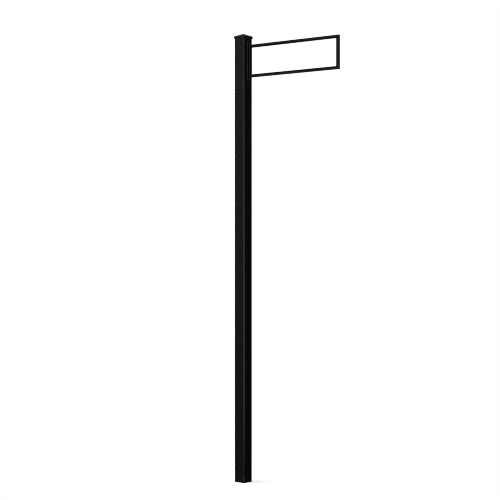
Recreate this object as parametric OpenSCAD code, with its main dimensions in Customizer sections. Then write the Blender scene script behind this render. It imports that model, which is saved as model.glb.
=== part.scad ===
// Street sign post with an open sign frame.
// A square tube stands in the ground and carries a slip-over pyramid cap. A flat
// mounting plate is screwed to one face near the top, and a rectangular frame of bars
// is welded to the plate. A channel runs round the inside of the bars, and the edges of
// a flat sign blade go in its groove.
// Origin: centre of the tube's lower end. +Z is up and the frame reaches out along +X.

/* [Post tube] */
// Width of the square tube, face to face
post_w = 101.6; // [76:0.1:127]
// Wall thickness of the tube
post_wall = 3.2; // [2.5:0.1:6]
// Outside radius of the tube's corners
post_corner_r = 6.4; // [6.1:0.1:10]
// Length of the tube, from its foot to its upper end
post_l = 3630; // [2400:1:4300]

/* [Post cap] */
// Wall thickness of the cap
cap_wall = 3.6; // [2:0.1:4.8]
// Gap between the cap's skirt and the tube, each side
cap_gap = 0.4; // [0.2:0.1:1]
// How far the skirt hangs below the tube's upper end
cap_skirt_drop = 13; // [8:0.5:30]
// Height of the cap's upright rim above the tube's upper end
cap_rim_rise = 5; // [4.9:0.1:12]
// Rise of the pyramid above the rim
cap_pyramid_rise = 22.6; // [12:0.1:50]
// Outside radius of the cap's corners
cap_corner_r = 2; // [1:0.1:10]

/* [Mounting plate] */
// Width of the plate across the post's face
plate_w = 42; // [32:0.5:60]
// Thickness of the plate
plate_t = 12; // [8:0.5:20]
// Radius of the plate's two upright front edges
plate_edge_r = 2.5; // [1:0.5:6]
// How far the plate runs past the frame, above and below
plate_tab = 26.8; // [22:0.1:50]

/* [Screws] */
// Diameter of the screw shank
screw_d = 6.4; // [5:0.1:8]
// Diameter of the screw head
screw_head_d = 12; // [10:0.5:14]
// Height of the domed screw head
screw_head_h = 3.4; // [2.5:0.1:5]
// Width of the driver socket, across flats
screw_socket_w = 4; // [3:0.1:5]
// Depth of the driver socket
screw_socket_depth = 2; // [1:0.1:2]
// How far the screw runs past the tube's wall, inside the tube
screw_tail = 6; // [2:0.5:15]
// Radial gap round the shank in the plate and in the tube's wall
screw_gap = 0.3; // [0.1:0.05:0.6]

/* [Sign frame] */
// Length of the frame, from the plate to its outer end
frame_l = 914.4; // [450:0.1:1250]
// Height of the frame over its outer edges
frame_h = 264; // [160:1:500]
// Distance from the tube's upper end down to the frame's top edge
frame_drop = 69.2; // [60:0.1:400]
// Width of the bars in the plane of the frame
bar_w = 13; // [8:0.5:25]
// Depth of the bars, from front to back
bar_depth = 22.2; // [18:0.1:32]
// Radius of the bars' long edges
bar_edge_r = 2.5; // [0.5:0.1:3]

/* [Blade channel] */
// Width of the channel in the plane of the frame
channel_w = 10.2; // [8:0.1:20]
// How far the channel sits back from the bars, front and back
channel_setback = 3; // [0.5:0.5:4]
// Width of the groove that takes the sign blade
groove_w = 6; // [2:0.5:8]
// Depth of the groove
groove_depth = 7; // [3:0.5:7.5]

/* [Hidden] */
// Smoothness of round edges
$fn = 48;
// Extra length by which a cut runs past the face that it opens
over = 1;
// Chamfer on the end of a screw
screw_end_chamfer = 0.8;
// Powder coat, the same on the post, the plate and the frame
coat = [0.035, 0.033, 0.032];
screw_coat = [0.05, 0.05, 0.05];
channel_black = [0.02, 0.02, 0.02];

post_face = post_w / 2;
bore_w = post_w - 2 * post_wall;
bore_corner_r = post_corner_r - post_wall;
cap_in = post_w + 2 * cap_gap;
cap_out = cap_in + 2 * cap_wall;
cap_base_z = post_l - cap_skirt_drop;
cap_eave_z = post_l + cap_rim_rise;
// The hollow in the roof keeps the outer slope
cap_hollow_rise = cap_pyramid_rise * bore_w / cap_out;

frame_top = post_l - frame_drop;
frame_bottom = frame_top - frame_h;
frame_x0 = post_face + plate_t;
frame_x1 = frame_x0 + frame_l;
// Bar and channel together, in the plane of the frame
side_w = bar_w + channel_w;
channel_depth = bar_depth - 2 * channel_setback;

plate_l = frame_h + 2 * plate_tab;
// A screw sits in the middle of each tab that the plate leaves past the frame
screw_z_upper = frame_top + plate_tab / 2;
screw_z_lower = frame_bottom - plate_tab / 2;
screw_grip = plate_t + post_wall;

// A rectangle with round corners, centred on the origin
module rounded_rect(w, h, r) {
    square([w, h - 2 * r], center = true);
    square([w - 2 * r, h], center = true);
    for (sx = [-1, 1], sy = [-1, 1])
        translate([sx * (w / 2 - r), sy * (h / 2 - r)]) circle(r);
}

// Section of a bar, seen along its length: the outer edge is at y = 0 and the side
// that faces the opening is at y = bar_w
module bar_section() {
    translate([0, bar_w / 2]) rounded_rect(bar_depth, bar_w, bar_edge_r);
}

// Section of the channel, seated on the bar: its groove opens into the frame
module channel_section() {
    difference() {
        translate([-channel_depth / 2, bar_w]) square([channel_depth, channel_w]);
        translate([-groove_w / 2, side_w - groove_depth])
            square([groove_w, groove_depth + over]);
    }
}

// The section in child 0 drawn out along +X from the origin, with both ends mitred.
// The outer edge of the frame is on the plane z = 0.
module mitred(length) {
    intersection() {
        rotate([90, 0, 90]) linear_extrude(length) children();
        translate([0, bar_depth, 0])
            rotate([90, 0, 0])
                linear_extrude(2 * bar_depth)
                    polygon([
                        [0, 0],
                        [length, 0],
                        [length - side_w, side_w],
                        [side_w, side_w]
                    ]);
    }
}

// The four sides of the frame
module upper_side() {
    translate([frame_x0, 0, frame_top]) mirror([0, 0, 1]) mitred(frame_l) children();
}

module lower_side() {
    translate([frame_x0, 0, frame_bottom]) mitred(frame_l) children();
}

module inner_side() {
    translate([frame_x0, 0, frame_top]) rotate([0, 90, 0]) mitred(frame_h) children();
}

module outer_side() {
    translate([frame_x1, 0, frame_bottom]) rotate([0, -90, 0]) mitred(frame_h) children();
}

// A roof with its ridge along X and its eaves on the plane z = 0
module gable(w, rise) {
    translate([-w / 2, 0, 0])
        rotate([90, 0, 90])
            linear_extrude(w) polygon([[-w / 2, 0], [w / 2, 0], [0, rise]]);
}

// A four-sided pyramid on the plane z = 0, with its four arrises rounded off in plan
module pyramid(w, rise, r) {
    intersection() {
        gable(w, rise);
        rotate([0, 0, 90]) gable(w, rise);
        linear_extrude(rise) rounded_rect(w, w, r);
    }
}

// A domed screw with its axis along X and the underside of its head at x = 0
module plate_screw() {
    tip = -screw_grip - screw_tail;
    dome = [for (a = [0 : 10 : 80]) [screw_head_d / 2 * cos(a), screw_head_h * sin(a)]];
    color(screw_coat)
        difference() {
            rotate([0, 90, 0])
                rotate_extrude()
                    polygon(concat(
                        [
                            [0, tip],
                            [screw_d / 2 - screw_end_chamfer, tip],
                            [screw_d / 2, tip + screw_end_chamfer],
                            [screw_d / 2, 0]
                        ],
                        dome,
                        [[0, screw_head_h]]
                    ));
            translate([screw_head_h - screw_socket_depth, 0, 0])
                rotate([0, 90, 0])
                    cylinder(d = screw_socket_w / cos(30), h = screw_socket_depth + over, $fn = 6);
        }
}

// The cut for both screws' shanks, through the plate and the tube's wall
module screw_holes() {
    for (z = [screw_z_upper, screw_z_lower])
        translate([post_face - post_wall - over, 0, z])
            rotate([0, 90, 0])
                cylinder(d = screw_d + 2 * screw_gap, h = screw_grip + 2 * over);
}

module post_tube() {
    color(coat)
        difference() {
            linear_extrude(post_l)
                difference() {
                    rounded_rect(post_w, post_w, post_corner_r);
                    rounded_rect(bore_w, bore_w, bore_corner_r);
                }
            screw_holes();
        }
}

module post_cap() {
    color(coat)
        difference() {
            union() {
                translate([0, 0, cap_base_z])
                    linear_extrude(cap_eave_z - cap_base_z)
                        rounded_rect(cap_out, cap_out, cap_corner_r);
                translate([0, 0, cap_eave_z])
                    pyramid(cap_out, cap_pyramid_rise, cap_corner_r);
            }
            // Space for the tube's end, up to its seat
            translate([0, 0, cap_base_z - over])
                linear_extrude(cap_skirt_drop + over)
                    rounded_rect(cap_in, cap_in, post_corner_r + cap_gap);
            // Hollow under the roof, as wide as the tube's bore
            translate([0, 0, post_l - over])
                linear_extrude(cap_rim_rise - cap_wall + over)
                    rounded_rect(bore_w, bore_w, bore_corner_r);
            translate([0, 0, cap_eave_z - cap_wall])
                pyramid(bore_w, cap_hollow_rise, bore_corner_r);
        }
}

module mounting_plate() {
    color(coat)
        difference() {
            translate([post_face, 0, frame_bottom - plate_tab])
                linear_extrude(plate_l)
                    intersection() {
                        translate([0, -plate_w / 2]) square([plate_t, plate_w]);
                        rounded_rect(2 * plate_t, plate_w, plate_edge_r);
                    }
            screw_holes();
        }
}

module plate_screw_upper() {
    translate([frame_x0, 0, screw_z_upper]) plate_screw();
}

module plate_screw_lower() {
    translate([frame_x0, 0, screw_z_lower]) plate_screw();
}

module frame_rail_upper() {
    color(coat) upper_side() bar_section();
}

module frame_rail_lower() {
    color(coat) lower_side() bar_section();
}

module frame_stile_inner() {
    color(coat) inner_side() bar_section();
}

module frame_stile_outer() {
    color(coat) outer_side() bar_section();
}

module blade_channel_upper() {
    color(channel_black) upper_side() channel_section();
}

module blade_channel_lower() {
    color(channel_black) lower_side() channel_section();
}

module blade_channel_inner() {
    color(channel_black) inner_side() channel_section();
}

module blade_channel_outer() {
    color(channel_black) outer_side() channel_section();
}

post_tube();
post_cap();
mounting_plate();
plate_screw_upper();
plate_screw_lower();
frame_rail_upper();
frame_rail_lower();
frame_stile_inner();
frame_stile_outer();
blade_channel_upper();
blade_channel_lower();
blade_channel_inner();
blade_channel_outer();
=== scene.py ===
# %% [markdown]
# # A sign post with an open sign frame
# A tall square post carries a cast cap and, near its top, a welded frame of flat bars on
# a mounting plate. A dark channel runs round the inside of the bars and takes the edges
# of a sign. All of it is black, so the lesson is about one thing: how a black coat is
# seen. A black surface shows its shape almost only by what it mirrors.
#
# The construction comes in as a fixed frame of named CAD pieces, in metres. Nothing in it
# is moved, and no shape is added to it. This script gives each piece its finish and
# builds a plain studio around them.

# %% Load the frame
from math import cos, pi, radians, sin

import bmesh
import bpy
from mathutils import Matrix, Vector


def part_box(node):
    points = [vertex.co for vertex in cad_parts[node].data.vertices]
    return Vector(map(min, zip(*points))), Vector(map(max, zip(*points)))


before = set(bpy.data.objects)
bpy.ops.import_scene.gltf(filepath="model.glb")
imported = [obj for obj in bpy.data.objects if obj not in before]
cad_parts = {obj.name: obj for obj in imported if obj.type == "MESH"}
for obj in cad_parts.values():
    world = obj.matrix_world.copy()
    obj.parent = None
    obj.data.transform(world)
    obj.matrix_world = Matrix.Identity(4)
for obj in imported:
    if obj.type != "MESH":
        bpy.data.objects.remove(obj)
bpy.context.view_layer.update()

print("CAD pieces:", ", ".join(sorted(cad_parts)))

# %% [markdown]
# ## Measures taken from the frame
# Every later cell needs the same few places: the half width of the post, the faces of the
# frame and the depth of its bars. They could be typed in again, but then they would drift
# away from the CAD model when a size changes. So they are read once from the boxes of
# the pieces.

# %% Read the driving measures
mm = 0.001


def size_of(node):
    low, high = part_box(node)
    return high - low


post_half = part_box("post_tube")[1].x
post_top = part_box("post_tube")[1].z
frame_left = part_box("frame_rail_upper")[0].x
frame_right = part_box("frame_rail_upper")[1].x
frame_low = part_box("frame_rail_lower")[0].z
frame_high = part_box("frame_rail_upper")[1].z
bar_width = size_of("frame_rail_upper").z
bar_half_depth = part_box("frame_rail_upper")[1].y
frame_centre = Vector(((frame_left + frame_right) / 2, 0, (frame_low + frame_high) / 2))
frame_half = Vector(((frame_right - frame_left) / 2, 0, (frame_high - frame_low) / 2))
print(f"post {post_half * 2 / mm:.1f} mm square, {post_top:.3f} m long")
print(f"frame {frame_half.x * 2 / mm:.1f} x {frame_half.z * 2 / mm:.1f} mm")

# %% [markdown]
# ## The camera
# The post is seen from its front right, a little above its middle, from about eleven
# metres away. A long lens that far off keeps the post's sides nearly parallel, and a tilt
# of half a degree puts the whole post in the picture with no lens shift. The camera
# stands on a circle round the post, so its place is worked out from an angle and a
# distance.

# %% Place the camera
camera_turn = radians(40.669)
camera_distance = 11.417
camera_height = 2.022
camera_aside = 0.0546
camera_tilt = radians(0.635)
camera_lens = 100.673

toward_camera = Vector((sin(camera_turn), -cos(camera_turn), 0))
camera_right = Vector((cos(camera_turn), sin(camera_turn), 0))
camera_data = bpy.data.cameras.new("camera")
camera_data.sensor_width = 36
camera_data.lens = camera_lens
camera_data.clip_end = 200
camera = bpy.data.objects.new("camera", camera_data)
camera.location = toward_camera * camera_distance + camera_right * camera_aside
camera.location.z = camera_height
camera.rotation_euler = (pi / 2 - camera_tilt, 0, camera_turn)
bpy.context.scene.collection.objects.link(camera)
bpy.context.scene.camera = camera
print("camera at", [round(value, 3) for value in camera.location])

# %% [markdown]
# ## Keep thin bars crisp
# The frame's bars are thin beside the length of the post. The renderer blurs each point
# over its neighbours, and a slightly narrower blur keeps the bars' dark edges crisp.

# %% Narrow the blur
bpy.context.scene.cycles.filter_width = 1.0
print("filter width", bpy.context.scene.cycles.filter_width)

# %% [markdown]
# ## Small helpers for nodes
# A material is a graph. Written out in full, each node takes four lines, and the idea is
# lost among them. Three helpers keep the later cells short: one adds a node and fills its
# sockets, one does sums, and one maps a range of values to another with soft ends. A
# value that is itself a socket is linked, and anything else is typed into the socket.

# %% Node helpers
def add_node(tree, kind, inputs=None, **settings):
    made = tree.nodes.new(kind)
    for name, value in settings.items():
        setattr(made, name, value)
    for name, value in (inputs or {}).items():
        if isinstance(value, bpy.types.NodeSocket):
            tree.links.new(value, made.inputs[name])
        else:
            made.inputs[name].default_value = value
    return made


def sums(tree, operation, first, second=0.0):
    made = add_node(tree, "ShaderNodeMath", {0: first, 1: second}, operation=operation)
    return made.outputs[0]


def ramp(tree, value, low, high, start=0.0, end=1.0, curve="SMOOTHSTEP"):
    made = add_node(tree, "ShaderNodeMapRange", {
        "Value": value, "From Min": low, "From Max": high, "To Min": start, "To Max": end,
    }, interpolation_type=curve)
    return made.outputs["Result"]


def blend_colours(tree, share, first, second):
    made = tree.nodes.new("ShaderNodeMix")
    made.data_type = "RGBA"
    for socket, value in zip((made.inputs[0], made.inputs[6], made.inputs[7]),
                             (share, first, second)):
        if isinstance(value, bpy.types.NodeSocket):
            tree.links.new(value, socket)
        else:
            socket.default_value = value
    return made.outputs[2]


def noise(tree, vector, scale, detail=2.0, roughness=0.5):
    made = add_node(tree, "ShaderNodeTexNoise", {
        "Vector": vector, "Scale": scale, "Detail": detail, "Roughness": roughness,
    })
    return made.outputs[0]


def grey(value):
    return (value, value, value, 1)


def new_group(name, inputs, outputs):
    group = bpy.data.node_groups.new(name, "ShaderNodeTree")
    for direction, sockets in (("INPUT", inputs), ("OUTPUT", outputs)):
        for label, kind in sockets.items():
            group.interface.new_socket(label, in_out=direction,
                                       socket_type=f"NodeSocket{kind}")
    source = group.nodes.new("NodeGroupInput")
    sink = group.nodes.new("NodeGroupOutput")
    return group, source.outputs, sink.inputs


def use_group(tree, group, **inputs):
    made = tree.nodes.new("ShaderNodeGroup")
    made.node_tree = group
    for name, value in inputs.items():
        socket = made.inputs[name.replace("_", " ")]
        if isinstance(value, bpy.types.NodeSocket):
            tree.links.new(value, socket)
        else:
            socket.default_value = value
    return made.outputs


print("node helpers ready")

# %% [markdown]
# ## What the coat mirrors
# The studio round the post is a sky of soft panels, seen only in reflections. Real
# panels could be built as glowing planes, but then they would also have to be hidden from
# every other view. Here each panel is a patch of the world, given by its bearing, its
# width and its height above the horizon. Bearings are counted from the front of the frame
# (-Y) towards its outer end (+X), in degrees.
#
# One group works out the mask of such a patch. The world uses it several times.

# %% A soft panel on the sky
def build_soft_panel():
    group, given, result = new_group(
        "soft_panel",
        {"Bearing": "Float", "Height": "Float", "Centre": "Float", "Half Width": "Float",
         "Bottom": "Float", "Top": "Float", "Edge": "Float"},
        {"Mask": "Float"},
    )
    turned = sums(group, "SUBTRACT", given["Bearing"], given["Centre"])
    wrapped = add_node(group, "ShaderNodeMath", {0: turned, 1: 180, 2: -180},
                       operation="WRAP")
    aside = sums(group, "ABSOLUTE", wrapped.outputs[0])

    def soft_step(value, place, start, end):
        low = sums(group, "SUBTRACT", place, given["Edge"])
        high = sums(group, "ADD", place, given["Edge"])
        return ramp(group, value, low, high, start, end)

    across = soft_step(aside, given["Half Width"], 1.0, 0.0)
    above = soft_step(given["Height"], given["Bottom"], 0.0, 1.0)
    below = soft_step(given["Height"], given["Top"], 1.0, 0.0)
    upright = sums(group, "MULTIPLY", above, below)
    group.links.new(sums(group, "MULTIPLY", across, upright), result["Mask"])
    return group


soft_panel = build_soft_panel()
print("soft_panel inputs:", [socket.name for socket in soft_panel.interface.items_tree])

# %% [markdown]
# ## The world around the post
# A camera ray sees plain white, and a diffuse ray sees an even, weak fill. Only a glossy
# or transmitted ray sees the studio. It has a tall panel to the left that grows dimmer
# towards the floor, a low panel in front, a strip to the right that is brightest near its
# foot, a ceiling, and a glow from the pale floor, so that every side mirrors something.
# The panels are slightly warm. Real panels would do the same, but each one would have to
# be hidden from the camera, and here the choice is made once, from the kind of ray.

# %% Build the world
fill_strength = 0.5
warm_white = (1, 1, 0.88, 1)
# Heights and bearings are in degrees
room_low, room_high = 0.002, 0.14
tall_brightest, tall_limit = 0.46, 0.3
low_panel_strength = 0.72
strip_at_foot, strip_at_top = 2.4, 0.35
ceiling_strength = 0.7
glow_mean, glow_swing, glow_bearing = 0.45, 0.3, -25


def build_world():
    world = bpy.data.worlds.new("studio")
    world.use_nodes = True
    world.cycles.sampling_method = "NONE"
    tree = world.node_tree
    tree.nodes.clear()
    seen = add_node(tree, "ShaderNodeTexCoord").outputs["Generated"]
    axes = add_node(tree, "ShaderNodeSeparateXYZ", {"Vector": seen}).outputs
    bearing = sums(tree, "DEGREES",
                   sums(tree, "ARCTAN2", axes["X"], sums(tree, "MULTIPLY", axes["Y"], -1)))
    height = sums(tree, "DEGREES", sums(tree, "ARCSINE", axes["Z"]))

    def panel(centre, half_width, bottom, top, edge, strength):
        mask = use_group(tree, soft_panel, Bearing=bearing, Height=height, Centre=centre,
                         Half_Width=half_width, Bottom=bottom, Top=top, Edge=edge)
        return sums(tree, "MULTIPLY", mask["Mask"], strength)

    room = ramp(tree, height, -20, 60, room_low, room_high, "LINEAR")
    tall_rise = ramp(tree, height, -18, 35, 0.0, tall_brightest, "LINEAR")
    tall_strength = sums(tree, "MINIMUM", tall_rise, tall_limit)
    tall_panel = panel(-38, 42, -60, 75, 10, tall_strength)
    low_rise = ramp(tree, height, -9, -6.5, 0.0, low_panel_strength)
    low_panel = panel(20, 35, -30, 38, 8, low_rise)
    strip_rise = ramp(tree, height, -7, 7, strip_at_foot, strip_at_top, "LINEAR")
    strip_foot = ramp(tree, height, -8.7, -7, 0.0, 1.0)
    strip_strength = sums(tree, "MULTIPLY", strip_rise, strip_foot)
    side_strip = panel(90, 36, -30, 20, 5, strip_strength)
    ceiling = ramp(tree, height, 58, 66, 0.0, ceiling_strength)
    away_from_glow = sums(tree, "SUBTRACT", bearing, glow_bearing)
    turned = sums(tree, "COSINE", sums(tree, "RADIANS", away_from_glow))
    pale = sums(tree, "ADD", sums(tree, "MULTIPLY", turned, glow_swing), glow_mean)
    floor_glow = sums(tree, "MULTIPLY", pale, ramp(tree, height, -16, -11.5, 1.0, 0.0))
    studio = room
    for light in (tall_panel, low_panel, side_strip, ceiling, floor_glow):
        studio = sums(tree, "ADD", studio, light)

    ray = add_node(tree, "ShaderNodeLightPath").outputs
    mirrored = sums(tree, "MAXIMUM", ray["Is Glossy Ray"], ray["Is Transmission Ray"])
    strength = add_node(tree, "ShaderNodeMix", {0: mirrored, 2: fill_strength, 3: studio})
    strength = add_node(tree, "ShaderNodeMix",
                        {0: ray["Is Camera Ray"], 2: strength.outputs[0], 3: 1.0})
    back = add_node(tree, "ShaderNodeBackground",
                    {"Color": blend_colours(tree, mirrored, grey(1), warm_white),
                     "Strength": strength.outputs[0]})
    sink = add_node(tree, "ShaderNodeOutputWorld")
    tree.links.new(back.outputs[0], sink.inputs["Surface"])
    return world


bpy.context.scene.world = build_world()
bpy.context.scene.view_settings.view_transform = "Standard"
print("world fill", fill_strength)

# %% [markdown]
# ## The floor
# The floor is a plain pale disc that takes the soft shadow at the foot of the post.
# Further out it has to meet the white of the background with no line, so the share of
# plain white in what the camera sees grows with the distance from the post. The shadow is
# kept near the foot, where the share is small. The floor stays out of the coat's
# reflections, which would turn the foot of the post grey.

# %% Make the floor
floor_radius = 30
shadow_radius = 1.6
floor_grey = 0.86
white_near_post = 0.45


def build_floor():
    shape = bmesh.new()
    bmesh.ops.create_circle(shape, cap_ends=True, radius=floor_radius, segments=96)
    mesh = bpy.data.meshes.new("floor")
    shape.to_mesh(mesh)
    shape.free()
    floor = bpy.data.objects.new("floor", mesh)
    bpy.context.scene.collection.objects.link(floor)

    material = bpy.data.materials.new("pale_floor")
    material.use_nodes = True
    tree = material.node_tree
    tree.nodes.clear()
    place = add_node(tree, "ShaderNodeTexCoord").outputs["Object"]
    away = add_node(tree, "ShaderNodeVectorMath", {0: place}, operation="LENGTH")
    plain = ramp(tree, away.outputs["Value"], 0.2, shadow_radius, white_near_post, 1.0)
    ray = add_node(tree, "ShaderNodeLightPath").outputs
    matt = add_node(tree, "ShaderNodeBsdfDiffuse", {"Color": grey(floor_grey)})
    white = add_node(tree, "ShaderNodeEmission", {"Color": grey(1), "Strength": 1.0})
    share = sums(tree, "MULTIPLY", plain, ray["Is Camera Ray"])
    seen = add_node(tree, "ShaderNodeMixShader",
                    {0: share, 1: matt.outputs[0], 2: white.outputs[0]})
    sink = add_node(tree, "ShaderNodeOutputMaterial")
    tree.links.new(seen.outputs[0], sink.inputs["Surface"])
    mesh.materials.append(material)
    floor.visible_glossy = False
    return floor


floor = build_floor()
print(floor.name, "radius", floor_radius, "m")

# %% [markdown]
# ## The lamps
# Two large soft boxes light the post: one overhead, which gives the soft shadow on the
# floor, and one to the left of the camera. They are big and far away, so that the light
# hardly changes over the post's height. Their power is set so that a mid grey card beside
# the post would come out about as it is written.

# %% Place the lamps
def add_soft_box(name, bearing, distance, height, width, power):
    lamp = bpy.data.lights.new(name, "AREA")
    lamp.shape = "SQUARE"
    lamp.size = width
    lamp.energy = power
    box = bpy.data.objects.new(name, lamp)
    turn = radians(bearing)
    box.location = (distance * sin(turn), -distance * cos(turn), height)
    aim = Vector((0, 0, post_top / 2)) - box.location
    box.rotation_euler = aim.to_track_quat("-Z", "Y").to_euler()
    box.visible_camera = False
    box.visible_glossy = False
    bpy.context.scene.collection.objects.link(box)
    return box


lamps = [
    add_soft_box("lamp_overhead", bearing=-30, distance=2.5, height=9, width=6, power=900),
    add_soft_box("lamp_left", bearing=-55, distance=8, height=3.5, width=5, power=500),
]
print("lamps:", [lamp.name for lamp in lamps])

# %% [markdown]
# ## Powder coat
# Powder is sprayed on dry and melted in an oven. It flows into an even skin, but not a
# perfect one: it keeps a fine waviness, called orange peel, of one to three millimetres,
# and a faint grain of half a millimetre. Its gloss also varies a little from place to
# place. A bump image could carry all this, but a few noises at the true sizes do it with
# no image and never repeat.

# %% Powder coat group
grain_share = 0.12


def build_powder_coat():
    group, given, result = new_group(
        "powder_coat",
        {"Vector": "Vector", "Coat": "Color", "Gloss": "Float", "Peel": "Float"},
        {"Color": "Color", "Roughness": "Float", "Height": "Float"},
    )
    waves = noise(group, given["Vector"], 420, 1.5)
    grain = noise(group, given["Vector"], 1900, 1.0)
    clouds = noise(group, given["Vector"], 9, 3.0)
    tone = ramp(group, clouds, 0.3, 0.7, 0.75, 1.25)
    scaled = add_node(group, "ShaderNodeVectorMath", {0: given["Coat"], 3: tone},
                      operation="SCALE")
    group.links.new(scaled.outputs[0], result["Color"])
    uneven = ramp(group, noise(group, given["Vector"], 38, 4.0), 0.35, 0.7, -0.02, 0.05)
    group.links.new(sums(group, "ADD", given["Gloss"], uneven), result["Roughness"])
    peel = sums(group, "MULTIPLY", waves, given["Peel"])
    grain_height = sums(group, "MULTIPLY", given["Peel"], grain_share)
    fine = sums(group, "MULTIPLY", grain, grain_height)
    group.links.new(sums(group, "ADD", peel, fine), result["Height"])
    return group


powder_coat = build_powder_coat()
print("powder_coat outputs: Color, Roughness, Height")

# %% [markdown]
# ## Worn edges and a painted highlight
# Straps, ladders and hands rub a coat first along its edges. The rubbed line is a little
# greyer and duller than the faces. On the post's rounded corners the same grey line is
# also a painted highlight: it brightens the corners the way a reflection would. The place
# of an edge could be found by ray tracing, but on straight-sided pieces plain sums do: a
# point is near an edge when it is near two faces at once. So the group takes the distance
# in from each of two faces, keeps the larger one, and breaks the line up with noise.

# %% Edge wear and painted highlight group
def build_worn_edge_and_highlight():
    group, given, result = new_group(
        "worn_edge_and_highlight",
        {"Vector": "Vector", "First": "Float", "Second": "Float", "Width": "Float",
         "Amount": "Float"},
        {"Mask": "Float"},
    )
    nearest = sums(group, "MAXIMUM", given["First"], given["Second"])
    share = sums(group, "DIVIDE", nearest, given["Width"])
    line = ramp(group, share, 0.15, 1.0, 1.0, 0.0)
    patchy = noise(group, given["Vector"], 14, 5.0, 0.65)
    patches = ramp(group, patchy, 0.36, 0.62, 0.25, 1.0)
    speckled = noise(group, given["Vector"], 260, 3.0)
    specks = ramp(group, speckled, 0.4, 0.6, 0.55, 1.0)
    # The line mask: rubbed coat, and on the post's corners a painted highlight too
    worn_line_and_highlight = sums(group, "MULTIPLY", line, sums(group, "MULTIPLY", patches, specks))
    group.links.new(sums(group, "MULTIPLY", worn_line_and_highlight, given["Amount"]), result["Mask"])
    return group


worn_edge_and_highlight = build_worn_edge_and_highlight()
print("worn_edge_and_highlight output: Mask")

# %% [markdown]
# ## Dust
# Outdoors, fine dust settles on whatever faces up. It is only a thin veil: the coat under
# it stays black. The mask is the upward part of the normal times a patchy noise.

# %% Dust group
def build_dust():
    group, given, result = new_group(
        "dust",
        {"Vector": "Vector", "Amount": "Float"},
        {"Mask": "Float"},
    )
    facing = add_node(group, "ShaderNodeNewGeometry").outputs["Normal"]
    up = add_node(group, "ShaderNodeSeparateXYZ", {"Vector": facing}).outputs["Z"]
    flat = ramp(group, up, 0.35, 1.0)
    patchy = noise(group, given["Vector"], 60, 5.0, 0.6)
    patches = ramp(group, patchy, 0.3, 0.75, 0.35, 1.0)
    veil = sums(group, "MULTIPLY", flat, patches)
    group.links.new(sums(group, "MULTIPLY", veil, given["Amount"]), result["Mask"])
    return group


dust = build_dust()
print("dust output: Mask")

# %% [markdown]
# ## From groups to a material
# All coated pieces end the same way: coat colour, then the worn edge line, which is
# also a painted highlight on the post's corners, then dust, into one Principled shader with
# a bump. This helper does that ending. What changes from piece to piece is where its edges
# are, and each material works that out itself.

# %% Finish a coated material
coat_black = (0.0008, 0.00078, 0.00065, 1)
# Grey of the rubbed edge line; on the post's corners it is also a painted highlight
rubbed_and_highlight_grey = (0.021, 0.0205, 0.0195, 1)
dust_tan = (0.045, 0.042, 0.037, 1)
bare_aluminium = (0.56, 0.56, 0.57, 1)
rubbed_dulling = 0.16
dust_dulling = 0.35


def start_material(name):
    material = bpy.data.materials.new(name)
    material.use_nodes = True
    tree = material.node_tree
    tree.nodes.clear()
    place = add_node(tree, "ShaderNodeTexCoord").outputs["Object"]
    return material, tree, place


def finish_coat(tree, place, wear_and_highlight, gloss=0.12, peel=0.008 * mm, dusting=0.25, metal=None):
    coat = use_group(tree, powder_coat, Vector=place, Coat=coat_black, Gloss=gloss,
                     Peel=peel)
    veil = use_group(tree, dust, Vector=place, Amount=dusting)["Mask"]
    # The edge line is painted in this grey: rubbed coat, and on the post's corners a painted
    # highlight
    colour = blend_colours(tree, wear_and_highlight, coat["Color"], rubbed_and_highlight_grey)
    colour = blend_colours(tree, veil, colour, dust_tan)
    rough = sums(tree, "ADD", coat["Roughness"], sums(tree, "MULTIPLY", wear_and_highlight, rubbed_dulling))
    rough = sums(tree, "ADD", rough, sums(tree, "MULTIPLY", veil, dust_dulling))
    if metal is not None:
        colour = blend_colours(tree, metal["mask"], colour, metal["colour"])
        dulling = sums(tree, "MULTIPLY", metal["mask"], metal["dull"])
        rough = sums(tree, "ADD", rough, dulling)
    bump = add_node(tree, "ShaderNodeBump", {"Height": coat["Height"], "Strength": 1.0,
                                             "Distance": 1.0})
    shader = add_node(tree, "ShaderNodeBsdfPrincipled", {
        "Base Color": colour, "Roughness": rough, "Normal": bump.outputs["Normal"],
        "IOR": 1.5,
    })
    if metal is not None:
        tree.links.new(metal["mask"], shader.inputs["Metallic"])
    sink = add_node(tree, "ShaderNodeOutputMaterial")
    tree.links.new(shader.outputs[0], sink.inputs["Surface"])


def inward(tree, coordinate, half, centre=0.0):
    """Distance in from the nearer of two opposite faces."""
    offset = sums(tree, "ABSOLUTE", sums(tree, "SUBTRACT", coordinate, centre))
    return sums(tree, "SUBTRACT", half, offset)


print("coat", coat_black[:3], "rubbed", rubbed_and_highlight_grey[:3])

# %% [markdown]
# ## The post's finish
# The post is an extruded tube. Its four long corners are rounded and get a wide rubbed
# line, which also serves as a painted highlight down the corners. The coat is sprayed from
# outside, so a hand's breadth up inside the bore it thins out and the bare aluminium shows.

# %% Post material
def build_post_finish():
    material, tree, place = start_material("post_black")
    axes = add_node(tree, "ShaderNodeSeparateXYZ", {"Vector": place}).outputs
    side = inward(tree, axes["X"], post_half)
    front = inward(tree, axes["Y"], post_half)
    # 5.5 mm line along the rounded corners: rubbed coat and a painted highlight
    wear_and_highlight = use_group(tree, worn_edge_and_highlight, Vector=place, First=side, Second=front,
                     Width=5.5 * mm, Amount=0.8)["Mask"]
    inside = ramp(tree, sums(tree, "MINIMUM", side, front), 2.2 * mm, 2.9 * mm)
    ragged = sums(tree, "ADD", axes["Z"],
                  sums(tree, "MULTIPLY", noise(tree, place, 40, 3.0), 0.04))
    bare = sums(tree, "MULTIPLY", inside, ramp(tree, ragged, 0.07, 0.12))
    metal = {"mask": bare, "colour": bare_aluminium, "dull": 0.22}
    finish_coat(tree, place, wear_and_highlight, metal=metal)
    return material


post_finish = build_post_finish()
print("made", post_finish.name)

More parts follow.
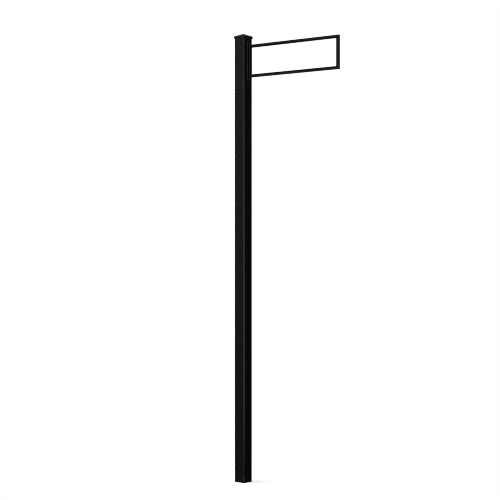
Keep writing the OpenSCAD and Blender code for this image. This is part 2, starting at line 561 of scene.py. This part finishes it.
# %% [markdown]
# ## The cap's finish
# The cap is a casting, so under the same powder its skin is a little rougher than the
# extruded tube's. Its rim stands proud of the post and is what a ladder touches first.

# %% Cap material
def build_cap_finish():
    material, tree, place = start_material("cap_black")
    axes = add_node(tree, "ShaderNodeSeparateXYZ", {"Vector": place}).outputs
    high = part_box("post_cap")[1]
    side = inward(tree, axes["X"], high.x)
    front = inward(tree, axes["Y"], high.y)
    wear_and_highlight = use_group(tree, worn_edge_and_highlight, Vector=place, First=side, Second=front,
                     Width=4 * mm, Amount=0.6)["Mask"]
    finish_coat(tree, place, wear_and_highlight, gloss=0.24, peel=0.02 * mm)
    return material


cap_finish = build_cap_finish()
print("made", cap_finish.name)

# %% [markdown]
# ## The frame's finish
# The bars are mitred, welded at the corners and ground flush before they are coated. The
# four mitres are folded onto one by measuring from the frame's centre: a point lies on a
# mitre when it is as far in from the end as from the top. The bars' long edges are found
# the same way, from how far a point lies in from the frame's outer outline.

# %% Frame material
def build_frame_finish():
    material, tree, place = start_material("frame_black")
    axes = add_node(tree, "ShaderNodeSeparateXYZ", {"Vector": place}).outputs
    from_end = inward(tree, axes["X"], frame_half.x, frame_centre.x)
    from_top = inward(tree, axes["Z"], frame_half.z, frame_centre.z)
    from_outline = sums(tree, "MINIMUM", from_end, from_top)
    across = inward(tree, from_outline, bar_width / 2, bar_width / 2)
    deep = inward(tree, axes["Y"], bar_half_depth)
    wear_and_highlight = use_group(tree, worn_edge_and_highlight, Vector=place, First=across, Second=deep,
                     Width=1.4 * mm, Amount=0.7)["Mask"]
    mitre = sums(tree, "ABSOLUTE", sums(tree, "SUBTRACT", from_end, from_top))
    seam = ramp(tree, mitre, 0.1 * mm, 0.7 * mm, 0.35, 0.0)
    finish_coat(tree, place, sums(tree, "MAXIMUM", wear_and_highlight, seam))
    return material


frame_finish = build_frame_finish()
print("made", frame_finish.name)

# %% [markdown]
# ## The plate's finish
# The mounting plate is a thick flat bar. Its long front edges are rounded, and its coat
# is rubbed along its edges.

# %% Plate material
def build_plate_finish():
    material, tree, place = start_material("plate_black")
    axes = add_node(tree, "ShaderNodeSeparateXYZ", {"Vector": place}).outputs
    low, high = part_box("mounting_plate")
    front = sums(tree, "SUBTRACT", high.x, axes["X"])
    side = inward(tree, axes["Y"], high.y)
    end = inward(tree, axes["Z"], (high.z - low.z) / 2, (high.z + low.z) / 2)
    wear_and_highlight = use_group(tree, worn_edge_and_highlight, Vector=place, First=front,
                     Second=sums(tree, "MINIMUM", side, end),
                     Width=2.6 * mm, Amount=0.8)["Mask"]
    finish_coat(tree, place, wear_and_highlight)
    return material


plate_finish = build_plate_finish()
print("made", plate_finish.name)

# %% [markdown]
# ## The channel's finish
# The channel is a matt black plastic extrusion. The die leaves fine lines along its
# length, so the noise is stretched: along X on the two rails, along Z on the two stiles.
# It mirrors far less than the powder coat and reads as a darker inner band.

# %% Channel materials
plastic_black = (0.0018, 0.0018, 0.0017)
die_line_height = 0.02 * mm


def build_channel_finish(name, stretch):
    material, tree, place = start_material(name)
    drawn = add_node(tree, "ShaderNodeMapping", {"Vector": place, "Scale": stretch})
    lines = noise(tree, drawn.outputs[0], 2200, 2.0)
    chalk = noise(tree, place, 55, 4.0)
    tone = ramp(tree, chalk, 0.3, 0.7, 0.7, 1.3)
    colour = add_node(tree, "ShaderNodeVectorMath", {0: plastic_black, 3: tone},
                      operation="SCALE").outputs[0]
    rough = ramp(tree, chalk, 0.3, 0.7, 0.5, 0.66)
    bump = add_node(tree, "ShaderNodeBump",
                    {"Height": sums(tree, "MULTIPLY", lines, die_line_height), "Distance": 1.0})
    shader = add_node(tree, "ShaderNodeBsdfPrincipled", {
        "Base Color": colour, "Roughness": rough, "Normal": bump.outputs["Normal"],
        "Specular IOR Level": 0.1,
    })
    sink = add_node(tree, "ShaderNodeOutputMaterial")
    tree.links.new(shader.outputs[0], sink.inputs["Surface"])
    return material


channel_along = build_channel_finish("channel_along", (0.01, 1, 1))
channel_upright = build_channel_finish("channel_upright", (1, 1, 0.01))
print("made", channel_along.name, "and", channel_upright.name)

# %% [markdown]
# ## The screws' finish
# The two screws are black-coated stainless steel. The driver has worn the coat at the
# mouth of each socket, and the bright steel shows there in a thin ring.

# %% Screw materials
screw_black = grey(0.004)
bright_steel = grey(0.42)
turning_pitch = 0.25 * mm
turning_height = 0.0015 * mm


def build_screw_finish(node):
    material, tree, place = start_material(node + "_black")
    low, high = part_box(node)
    centre = ((low.x + high.x) / 2, 0, (low.z + high.z) / 2)
    local = add_node(tree, "ShaderNodeVectorMath", {0: place, 1: centre},
                     operation="SUBTRACT")
    axes = add_node(tree, "ShaderNodeSeparateXYZ", {"Vector": local.outputs[0]}).outputs
    radius = sums(tree, "SQRT", sums(tree, "ADD", sums(tree, "POWER", axes["Y"], 2),
                                     sums(tree, "POWER", axes["Z"], 2)))
    ring = sums(tree, "MULTIPLY", ramp(tree, radius, 1.7 * mm, 2.0 * mm),
                ramp(tree, radius, 2.5 * mm, 2.9 * mm, 1.0, 0.0))
    scuffs = ramp(tree, noise(tree, place, 900, 3.0), 0.42, 0.6)
    bare = sums(tree, "MULTIPLY", ring, scuffs)
    turning = sums(tree, "SINE", sums(tree, "MULTIPLY", radius, 2 * pi / turning_pitch))
    colour = blend_colours(tree, bare, screw_black, bright_steel)
    rough = ramp(tree, noise(tree, place, 500, 3.0), 0.3, 0.7, 0.26, 0.4)
    bump = add_node(tree, "ShaderNodeBump",
                    {"Height": sums(tree, "MULTIPLY", turning, turning_height),
                     "Distance": 1.0})
    shader = add_node(tree, "ShaderNodeBsdfPrincipled", {
        "Base Color": colour, "Roughness": rough, "Metallic": bare,
        "Normal": bump.outputs["Normal"],
    })
    sink = add_node(tree, "ShaderNodeOutputMaterial")
    tree.links.new(shader.outputs[0], sink.inputs["Surface"])
    return material


screw_finishes = {node: build_screw_finish(node)
                  for node in ("plate_screw_upper", "plate_screw_lower")}
print("made", [material.name for material in screw_finishes.values()])

# %% [markdown]
# ## Dress the CAD pieces
# Every piece keeps its mesh and only changes its material.

# %% Assign the finishes
finishes = {
    "post_tube": post_finish,
    "post_cap": cap_finish,
    "mounting_plate": plate_finish,
    "frame_rail_upper": frame_finish,
    "frame_rail_lower": frame_finish,
    "frame_stile_inner": frame_finish,
    "frame_stile_outer": frame_finish,
    "blade_channel_upper": channel_along,
    "blade_channel_lower": channel_along,
    "blade_channel_inner": channel_upright,
    "blade_channel_outer": channel_upright,
    **screw_finishes,
}
for node, material in finishes.items():
    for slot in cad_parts[node].material_slots:
        slot.material = material
print("dressed", len(finishes), "of", len(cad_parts), "pieces")
